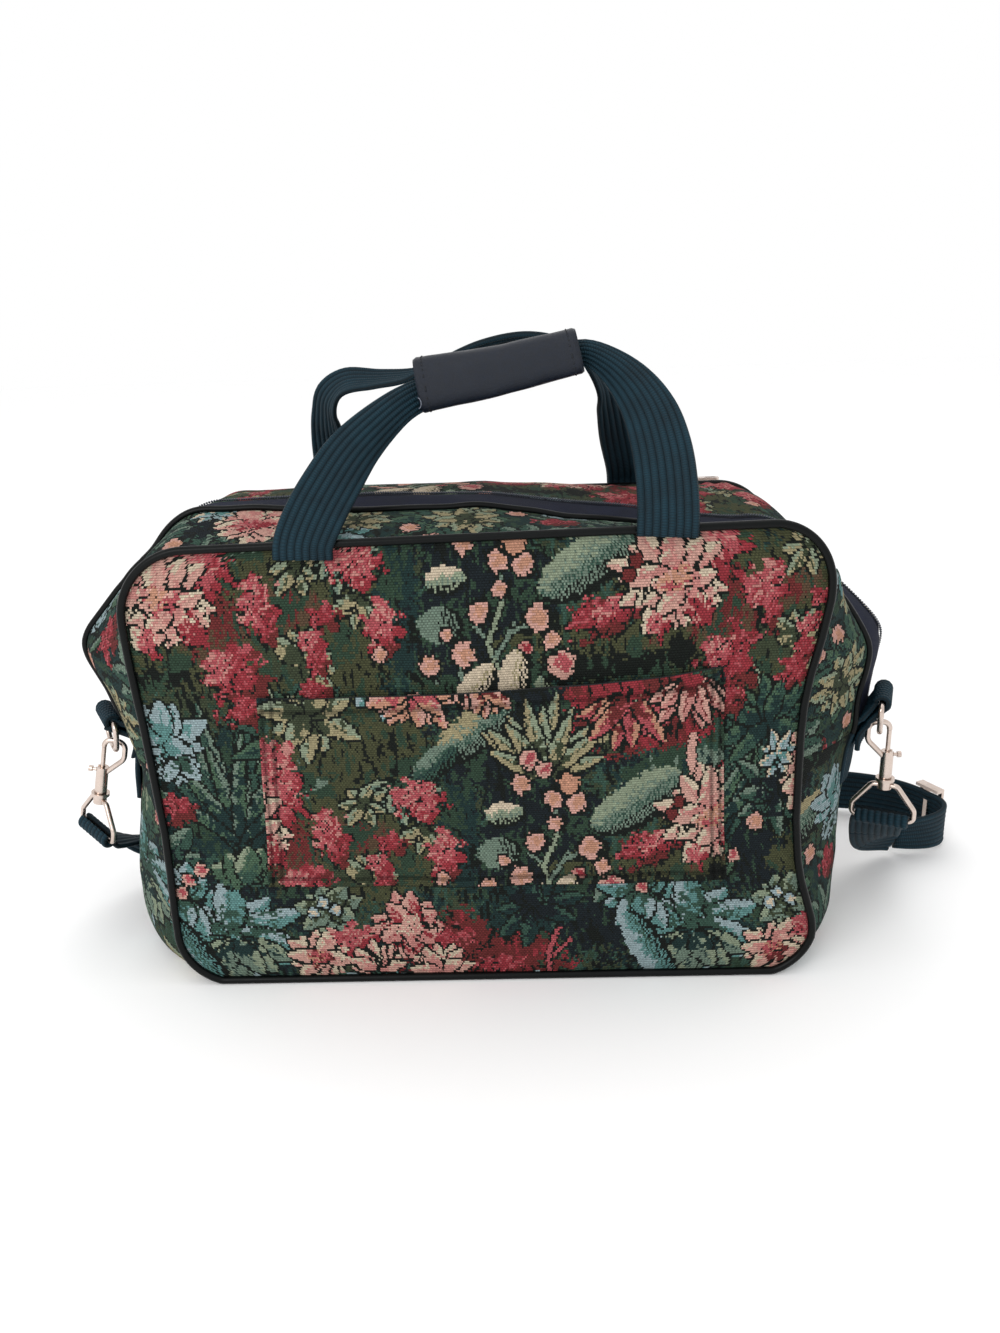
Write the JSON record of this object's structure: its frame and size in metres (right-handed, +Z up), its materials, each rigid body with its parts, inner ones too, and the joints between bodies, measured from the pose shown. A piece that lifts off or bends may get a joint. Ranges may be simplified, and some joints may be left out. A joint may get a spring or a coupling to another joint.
{
  "type": "carpet bag",
  "caption": "Soft zipped holdall of floral tapestry with corded edges, a patch pocket, webbing handles with a grip wrap, and a clip-on shoulder strap.",
  "frame": {"origin": "bottom centre of the bag body, on the surface it stands on", "axes": "+X to the right seen from the pocket side, +Y towards the back panel, +Z up"},
  "size_m": [0.7094, 0.2637, 0.4526],
  "materials": {
    "tapestry": "jacquard tapestry of garden flowers and leaves, ribbed weft, matt",
    "piping": "vinyl-covered cord, soft gloss",
    "zip_tape": "flat woven nylon tape",
    "zip_teeth": "nylon coil",
    "nickel": "polished nickel plate, a little worn",
    "steel": "spring wire",
    "board": "stiff board under cloth",
    "webbing": "ribbed polypropylene webbing",
    "grip": "grained leatherette with stitched ends"
  },
  "bodies": {
    "bag": {"front_panel": "tapestry", "back_panel": "tapestry", "base_gusset": "tapestry", "top_gusset_front": "tapestry", "top_gusset_back": "tapestry", "front_pocket": "tapestry", "front_piping": "piping", "back_piping": "piping", "zip_piping": "piping", "zip_tape": "zip_tape", "zip_teeth": "zip_teeth", "base_board": "board", "handle_front": "webbing", "handle_back": "webbing", "handle_grip": "grip", "tab_left": "webbing", "tab_right": "webbing", "shoulder_strap": "webbing", "strap_slider": "nickel"},
    "zip_slider": {"zip_slider": "nickel"},
    "zip_puller": {"zip_puller": "nickel"},
    "d_ring_left": {"d_ring_left": "nickel"},
    "snap_hook_left": {"snap_hook_left": "nickel", "hook_spring_left": "steel"},
    "hook_bolt_left": {"hook_bolt_left": "nickel"},
    "swivel_eye_left": {"swivel_eye_left": "nickel", "strap_end_left": "webbing"},
    "d_ring_right": {"d_ring_right": "nickel"},
    "snap_hook_right": {"snap_hook_right": "nickel", "hook_spring_right": "steel"},
    "hook_bolt_right": {"hook_bolt_right": "nickel"},
    "swivel_eye_right": {"swivel_eye_right": "nickel", "strap_end_right": "webbing"}
  },
  "joints": [
    {"name": "zip_slide", "type": "slide", "parent": "bag", "child": "zip_slider", "axis": [1, 0, 0], "range_m": [-0.29, 0.04]},
    {"name": "puller_hinge", "type": "hinge", "parent": "zip_slider", "child": "zip_puller", "pos_m": [0.1354, -0.007, 0.3372], "axis": [0, -1, 0], "range_deg": [0, 150]},
    {"name": "ring_hinge_left", "type": "hinge", "parent": "bag", "child": "d_ring_left", "pos_m": [-0.281, -0.028, 0.18], "axis": [-0.5, 0.866, 0], "range_deg": [0, 90]},
    {"name": "hook_hinge_left", "type": "hinge", "parent": "d_ring_left", "child": "snap_hook_left", "pos_m": [-0.281, -0.028, 0.155], "axis": [0, 1, 0], "range_deg": [-13, 65]},
    {"name": "bolt_slide_left", "type": "slide", "parent": "snap_hook_left", "child": "hook_bolt_left", "axis": [-0.225, 0, -0.9744], "range_m": [0, 0.006], "stiffness_N_per_m": 250, "springref_m": -0.004},
    {"name": "eye_swivel_left", "type": "hinge", "parent": "snap_hook_left", "child": "swivel_eye_left", "pos_m": [-0.29671, -0.028, 0.11809], "axis": [-0.225, 0, -0.9744], "continuous": true},
    {"name": "ring_hinge_right", "type": "hinge", "parent": "bag", "child": "d_ring_right", "pos_m": [0.284, -0.028, 0.18], "axis": [-0.342, -0.9397, 0], "range_deg": [0, 90]},
    {"name": "hook_hinge_right", "type": "hinge", "parent": "d_ring_right", "child": "snap_hook_right", "pos_m": [0.284, -0.028, 0.155], "axis": [0, -1, 0], "range_deg": [0, 78]},
    {"name": "bolt_slide_right", "type": "slide", "parent": "snap_hook_right", "child": "hook_bolt_right", "axis": [0, 0, -1], "range_m": [0, 0.006], "stiffness_N_per_m": 250, "springref_m": -0.004},
    {"name": "eye_swivel_right", "type": "hinge", "parent": "snap_hook_right", "child": "swivel_eye_right", "pos_m": [0.291, -0.028, 0.1155], "axis": [0, 0, -1], "continuous": true}
  ]
}
